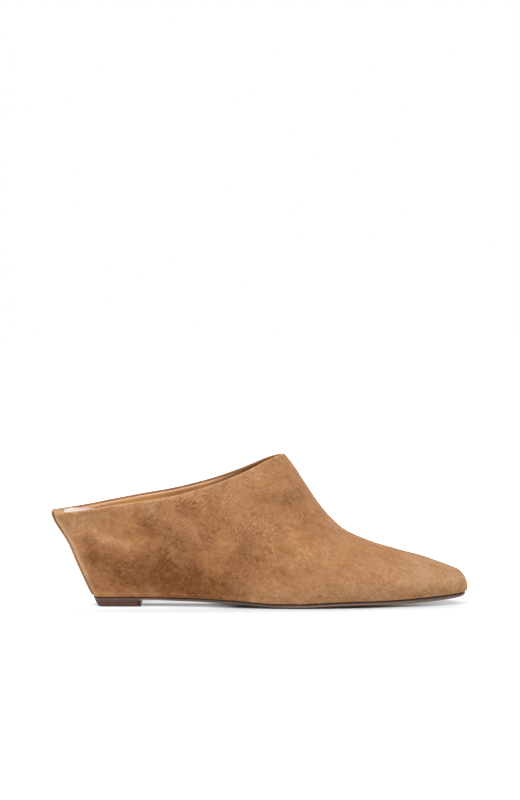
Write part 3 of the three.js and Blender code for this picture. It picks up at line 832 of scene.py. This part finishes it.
lining = Sheets()
for sign in (-1, 1):
    place, away, peak = half_sheet(sign, lining_drop, lining_rows)
    surface = last_point(place, away, sign)
    normal = last_normal(place, away, sign)
    face = surface - normal * wall
    hidden = surface - normal * (wall - lining_thickness)
    top = np.linalg.norm(face - face[:, -1:], axis=-1)
    behind = (np.arange(face.shape[0]) <= peak)[:, None]
    raw_edge = np.where(behind & (top < raw_width), 1.0, 0.0)
    lining.add(face, sign < 0, raw=raw_edge * (1 - throat(face)), shade=throat(face))
    lining.add(hidden, sign > 0, raw=0.0, shade=0.0)
    lining.add(np.stack([face[:, 0], hidden[:, 0]], axis=1), sign > 0, raw=0.0, shade=0.0)
    if sign < 0:
        outer_tops = (face, hidden)
    else:
        loops = [collar_loop(outer_tops[k], (face, hidden)[k], peak) for k in (0, 1)]
        rim = np.stack(loops, axis=1)
        lining.add(rim, closed=True, raw=1 - throat(rim), shade=throat(rim))
lining_piece = lining.piece("lining", lining_material)


# Flat pieces. The footbed, the sole and the top lift are cut to an outline that follows the
# last, and their edges are trimmed, so one way of making them serves all three.
def outline(half, length, stations, extra_back=0.0):
    """Plan function of a piece: a point for each station and side at a given height."""
    def point(sign, z):
        at = stations / shoe_length
        ends = end_share(stations, heel_corner, heel_squareness)
        ends = ends * end_share(length - stations, toe_corner, toe_squareness)
        centre = (half[1](at) - half[-1](at)) / 2
        y = centre + (sign * half[sign](at) - centre) * ends
        cover = extra_back * np.clip(1 - stations / (2 * heel_corner), 0, 1)
        return np.stack([station_x(stations, z) - cover, y], axis=-1)
    return point


def moved_in(outer, inner, inset):
    """Two sides of a flat piece as one closed outline, moved in from its edge."""
    loop = np.concatenate([outer, inner[1:-1][::-1]])
    ahead = unit(np.roll(loop, -1, axis=0) - np.roll(loop, 1, axis=0))
    return loop - np.stack([ahead[:, 1], -ahead[:, 0]], axis=-1) * inset(loop)


def filled(loop, count, columns):
    """The face inside an outline, of which so many points make the outer side."""
    first = loop[:count]
    second = np.concatenate([loop[:1], loop[count:][::-1], loop[count - 1:count]])
    share = np.linspace(0, 1, columns)[None, :, None]
    return first[:, None] * (1 - share) + second[:, None] * share


def plate(sides, profile, low, high, columns, bow=0.0, bevel=lambda x: 1.0):
    """Grids of a flat piece between two outlines that meet at both ends. The profile gives
    the inset of the edge at each share of its height, from the underside to the top, and the
    bevel says how much of the lower insets there is along the length."""
    rows = []
    for inset, share in profile:
        outer, inner = sides(share)
        flat = moved_in(outer, inner, lambda loop: inset * (bevel(loop[:, :1]) if share < 0.5 else 1.0))
        x = flat[:, 0]
        rows.append(np.column_stack([flat, low(x) + (high(x) - low(x)) * share]))
    bottom, top = (filled(row, len(outer), columns) for row in (rows[0], rows[-1]))
    bottom[..., 2] = low(bottom[..., 0])
    top[..., 2] = high(top[..., 0]) - bow * (1 - (2 * np.linspace(0, 1, columns) - 1) ** 2)
    return np.stack(rows, axis=1), bottom, top


# The footbed. A board covered with a smooth, glazed pale sock runs from the seat to the toe,
# slightly dished under the foot, with its edge turned down against the lining. Behind the
# sock's rounded end the board is covered in suede.
sock_material, paint, shader = finish("sock_leather", {
    "Roughness": 0.32, "Specular IOR Level": 0.5, "Coat Weight": 0.25, "Coat Roughness": 0.22})
cloud = paint.noise(45, 3.0, 0.6)
pores = paint.noise(1700, 2.0, 0.5)
glaze = cloud.between(0.3, 0.7) * 0.7 + pores * 0.3
sock_colour = glaze.blend(linear(206, 186, 172), linear(222, 204, 190))
end_suede = paint.noise(900, 3.0, 0.7).blend(linear(160, 112, 74), linear(196, 150, 112))
sock_colour = paint.attribute("rim").blend(sock_colour, end_suede)
gloss = paint.attribute("rim") * 0.55 + cloud.between(0.3, 0.7, 0.26, 0.4)
wear(paint, shader, Base_Color=sock_colour, Normal=pores.bump(0.12, 0.0001), Roughness=gloss)

footbed_clearance = 0.00025
footbed_dish = 0.0009
footbed_padding = 0.0008
sock_back = 0.0072
sock_corner = 0.0035
seat_stations = 20


def footbed_lift(x):
    """The sock's padding brings the seat up level with the collar at the back."""
    return footbed_padding * smooth_step(-x, -0.06, -0.025)


def footbed_edge(sign, stations):
    """Where the footbed's top meets the lining on one side."""
    place = crossing(stations, sign, lambda point: footbed(point[..., 0]))
    inward = last_normal(stations, place, sign) * (wall + footbed_clearance)
    return (last_point(stations, place, sign) - inward)[..., :2]


bed_stations = station_list(peak_station(0.0))
bed_outer = footbed_edge(-1, bed_stations)
bed_inner = footbed_edge(1, bed_stations)
for end in (0, -1):
    middle = (bed_outer[end] + bed_inner[end]) / 2
    bed_outer[end] = middle
    bed_inner[end] = middle
seat_middle = (bed_outer[:seat_stations, 1].min() + bed_inner[:seat_stations, 1].max()) / 2
bed_profile = [(0.0004, 0.0), (0.0, 0.15), (0.0, 0.75), (0.0002, 0.93), (0.0007, 1.0)]
grids = plate(lambda share: (bed_outer, bed_inner), bed_profile,
              lambda x: footbed(x) - insole_thickness, lambda x: footbed(x) + footbed_lift(x),
              columns=25, bow=footbed_dish)
bed = Sheets()
for grid, turned, closed in zip(grids, (False, False, True), (True, False, False)):
    from_middle = abs(grid[..., 1] - seat_middle)
    sock_end = sock_back + sock_corner * smooth_step(from_middle, 0.010, 0.021)
    bed.add(grid, turned, closed, rim=smooth_step(sock_end - grid[..., 0], -0.0002, 0.0002))
bed_piece = bed.piece("footbed", sock_material)
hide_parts("insole")


# The outsole. Thin sole leather, cemented on, with a bevelled edge that is painted dark
# brown, lighter along its lower side, partly the paler bevel and partly a painted highlight,
# with a painted shadow line along its top under the suede, and a plain tan underside.
sole_material, paint, shader = finish("sole_leather", {"Roughness": 0.5, "Specular IOR Level": 0.35})
height = paint.attribute("height")
under_face = paint.attribute("under")
cloud = paint.noise(70, 4.0, 0.6)
fibre = paint.noise(1.0, 3.0, 0.6, paint.stretched((0.004, 0.004, 0.0004)))
# The lower side is lighter, partly the paler bevel and partly a painted highlight from the floor.
edge_colour = height.between(0.25, 0.80).blend(linear(150, 120, 101), linear(72, 50, 42))
edge_colour = (fibre.between(0.45, 0.75) * 0.30).blend(edge_colour, linear(140, 112, 94))
edge_colour = paint.attribute("over_lift").blend(edge_colour, linear(82, 56, 44))
# Painted shadow: the top of the edge is darkened where the suede's feather overhangs it.
edge_colour = height.between(0.62, 0.90).blend(edge_colour, linear(44, 31, 26))
edge_colour = paint.attribute("dark").blend(edge_colour, linear(28, 22, 20))
base_colour = (cloud.between(0.3, 0.7) * 0.8).blend(linear(150, 112, 84), linear(176, 136, 104))
specks = paint.noise(900, 3.0, 0.6).between(0.55, 0.8) * 0.4
base_colour = specks.blend(base_colour, linear(112, 84, 66))
colour = under_face.blend(edge_colour, base_colour)
relief = (fibre + cloud).bump(0.25, 0.0002)
wear(paint, shader, Base_Color=colour, Normal=relief, Roughness=cloud.between(0.3, 0.7, 0.42, 0.62))

sole_setback = 0.0016
sole_cover = 0.0003
lift_breast = 0.0575
bevel_run = 0.010
sole_length = shoe_length - sole_setback
sole_stations = station_list(peak_station(0.0)) * (sole_length / shoe_length)
sole_sizes = {s: (lambda at, s=s: sole_width * sole_half[s](at)) for s in (-1, 1)}
sole_outline = outline(sole_sizes, sole_length, sole_stations, sole_cover)
sole_profile = [
    (0.0020, 0.0), (0.0010, 0.10), (0.0003, 0.19), (0.0, 0.25), (0.0, 0.4), (0.0, 0.8),
    (0.0002, 0.93), (0.0006, 1.0),
]


def sole_sides(share):
    """The sole's two sides at a share of its height, leaning with the raked back."""
    z = lift_height + skived_thickness * share
    return sole_outline(-1, z), sole_outline(1, z)


grids = plate(sole_sides, sole_profile, underside, sole_top, columns=21,
              bevel=lambda x: smooth_step(x, lift_breast, lift_breast + bevel_run))
shares = np.array([share for _, share in sole_profile])

# The edge gets a painted contact shadow along its lower part at the ball, painted shade under the arch,
# and is darker at the tip.
sole = Sheets()
x = grids[0][..., 0]
contact_shadow = smooth_step(x, 0.105, 0.125) * smooth_step(-x, -0.230, -0.200) * (shares < 0.3)[None, :]
over_lift = 0.9 * smooth_step(lift_breast - x, -0.001, 0.001)
arch_shade = 0.55 * smooth_step(x, 0.068, 0.080) * smooth_step(-x, -0.160, -0.132)
tip = 0.36 * smooth_step(x, 0.205, 0.240)
sole.add(grids[0], closed=True, height=shares[None, :], under=(shares < 0.03)[None, :] * 1.0,
         dark=np.maximum(np.maximum(contact_shadow, arch_shade), tip), over_lift=over_lift)
sole.add(grids[1], height=0.0, under=1.0, dark=0.0, over_lift=0.0)
sole.add(grids[2], True, height=1.0, under=0.0, dark=0.0, over_lift=0.0)
sole_piece = sole.piece("leather_sole", sole_material)
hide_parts("outsole")


# The top lift. A moulded brown rubber piece under the back of the sole, with a hollowed
# breast and a slightly worn edge.
lift_material, paint, shader = finish("lift_rubber", {"Roughness": 0.62, "Specular IOR Level": 0.3})
height = paint.attribute("height")
cloud = paint.noise(240, 4.0, 0.65)
lift_colour = cloud.between(0.3, 0.7).blend(linear(68, 44, 34), linear(86, 57, 45))
lift_colour = height.between(0.85, 0.98).blend(lift_colour, linear(64, 44, 36))
wear(paint, shader, Base_Color=lift_colour, Normal=cloud.bump(0.3, 0.0003))

breast_hollow = 0.002
breast_inset = 0.0004
breast_reach = 0.0008
breast_corner = 0.012
lift_profile = [(0.0004, 0.0), (0.0, 0.1), (0.0, 0.5), (0.0, 0.92), (0.0003, 1.0)]
back_stations = heel_corner * (1 - np.cos(np.linspace(0, math.pi / 2, 15)))
side_stations = np.linspace(heel_corner, lift_breast - breast_corner, 20)[1:]
lift_stations = np.concatenate([back_stations, side_stations])
lift_outline = outline(sole_sizes, shoe_length, lift_stations, sole_cover)


def lift_side(sign, z):
    """Outline of one side of the lift, with the breast's corner and its middle."""
    side = lift_outline(sign, z)
    half = sole_width * sole_half[sign](lift_breast / shoe_length) - breast_inset
    front = [(x, sign * half) for x in np.linspace(side[-1, 0], lift_breast, 6)[1:]]
    across = [(lift_breast, sign * half * share) for share in (0.98, 0.8, 0.6, 0.4, 0.2, 0.0)]
    return np.concatenate([side, front, across])


lift = Sheets()
edge_rows = []
for inset, share in lift_profile:
    z = lift_height * share
    outer, inner = lift_side(-1, z), lift_side(1, z)
    loop = moved_in(outer, inner, lambda points: inset)
    hollow = breast_hollow * (1 - abs(2 * share - 1))
    loop[:, 0] -= hollow * (loop[:, 0] > lift_breast - breast_reach)
    edge_rows.append(np.column_stack([loop, np.full(len(loop), z)]))
heights = np.array([share for _, share in lift_profile])
lift.add(np.stack(edge_rows, axis=1), closed=True, height=heights[None, :])
for row, value in ((edge_rows[0], 0.0), (edge_rows[-1], 1.0)):
    lift.add(filled(row, len(outer), columns=13), value > 0, height=value)
lift_piece = lift.piece("rubber_lift", lift_material)
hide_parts("top_lift")


# The back strip. A band of the same suede, skived thin along its edges, is stuck up the back
# of the wedge over the panel's two edges and folded over the top onto the seat.
strip_thickness = 0.001
strip_fold = 0.0075
strip_edge = 0.0009
strip_end = 0.0008
edge_share = 0.06


def back_width(z):
    """Half width of the back face at a height, before its corners round it off."""
    bottom = sole_top(0.0) + gap
    level = bottom + (peak_height * crown_share(0.0) - bottom) * widest_share(0.0)
    rise = np.clip((z - bottom) / (level - bottom), 0, 1)
    feather = sole_width * sole_half[1](0.0)
    widest = ball_width * upper_half[1](0.0)
    return feather + (widest - feather) * (1 - (1 - rise) ** 2)


def back_face(y, z):
    """How far forward the wedge's back face lies at a place across it and a height."""
    share = np.clip(abs(y) / back_width(z), 0, 1)
    return station_x(heel_corner * (1 - (1 - share ** heel_squareness) ** (1 / heel_squareness)), z)


strip_bottom = float(sole_top(0.0)) + gap

# The strip's way up the back and over the fold: height, share of the fold, and lean.
path = []
for z in np.linspace(strip_bottom, seat_height, 60):
    slope = float(back_line(z + 0.0005) - back_line(z - 0.0005)) / 0.001
    path.append((z, 0.0, math.atan2(slope, 1)))
start = path[-1][2]
path += [(seat_height, 0.0, start + (math.pi / 2 - start) * k / 8) for k in range(1, 9)]
path += [(seat_height, k / 12, math.pi / 2) for k in range(1, 13)]
across = np.concatenate([
    -1 + edge_share * np.linspace(0, 1, 6) ** 2,
    np.linspace(edge_share - 1, 1 - edge_share, 27)[1:-1],
    1 - edge_share * np.linspace(1, 0, 6) ** 2,
])
half = strip_width / 2
strip = Sheets()
layers = []
for outer_side in (True, False):
    rows = []
    for z, forward, turn in path:
        y = across * half
        near_edge = np.clip((half - abs(y)) / strip_edge, 0, 1)
        swell = np.sqrt(1 - (1 - near_edge) ** 2)
        end_ease = np.sqrt(1 - (1 - np.clip((1 - forward) * strip_fold / strip_end, 0, 1)) ** 2)
        skived_end = 0.35 + 0.65 * smooth_step(z, strip_bottom, strip_bottom + 0.004)
        thickness = strip_thickness * skived_end * (1 - 0.55 * smooth_step(turn, 0.5, 1.4))
        stand = gap * (1 - 0.6 * forward) + (thickness * swell * end_ease if outer_side else 0 * y)
        x = back_face(y, z) * (1 - forward) + strip_fold * forward
        if z <= strip_bottom:
            points = np.stack([x - stand / math.cos(turn), y, np.full_like(y, z)], axis=-1)
        else:
            points = np.stack([x - math.cos(turn) * stand, y, z + math.sin(turn) * stand], axis=-1)
        rows.append(points)
    layers.append(np.stack(rows))
climb = np.array([z for z, _, _ in path])
turns = np.array([turn for _, _, turn in path])
# The strip's side edges get a painted highlight, turned to painted shade up near the fold, and the fold
# itself gets painted sheen as greyer nap.
shaded = smooth_step(climb, 0.042, 0.054) * (1 - smooth_step(turns, 0.7, 1.3))
tone = 0.24 + smooth_step(abs(across), 0.8, 1.0)[None, :] * (0.36 - 0.9 * shaded[:, None])
fold_sheen = 0.7 * smooth_step(turns, 0.5, 1.3)[:, None]
strip.add(layers[0], nap=tone, grey=fold_sheen, ruffled=1.0)
strip.add(layers[1], True, nap=tone, grey=fold_sheen, ruffled=1.0)
for side in (0, -1):
    pair = np.stack([layers[0][:, side], layers[1][:, side]], axis=1)
    strip.add(pair, side == 0, nap=tone[:, [side]], grey=fold_sheen, ruffled=1.0)
    pair = np.stack([layers[0][side], layers[1][side]], axis=1)
    strip.add(pair, side == 0, nap=-0.2, grey=0.0, ruffled=1.0)
strip_piece = strip.piece("suede_back_strip", suede("strip_suede", 0.06))
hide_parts("back_strip")


# The wedge. A block of pressed cork fills the heel under the footbed, hidden by the suede.
cork_material, paint, shader = finish("cork", {"Roughness": 0.85})
grains = paint.node("ShaderNodeTexVoronoi", {}, {
    "Vector": paint.node("ShaderNodeTexCoord", output="Object"), "Scale": 420.0}, output="Distance")
cork_colour = grains.between(0.1, 0.6).blend(linear(120, 84, 52), linear(196, 152, 104))
wear(paint, shader, Base_Color=cork_colour, Normal=grains.bump(0.4, 0.0005))
wedge_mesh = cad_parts["wedge"].data
wedge_mesh.materials.clear()
wedge_mesh.materials.append(cork_material)
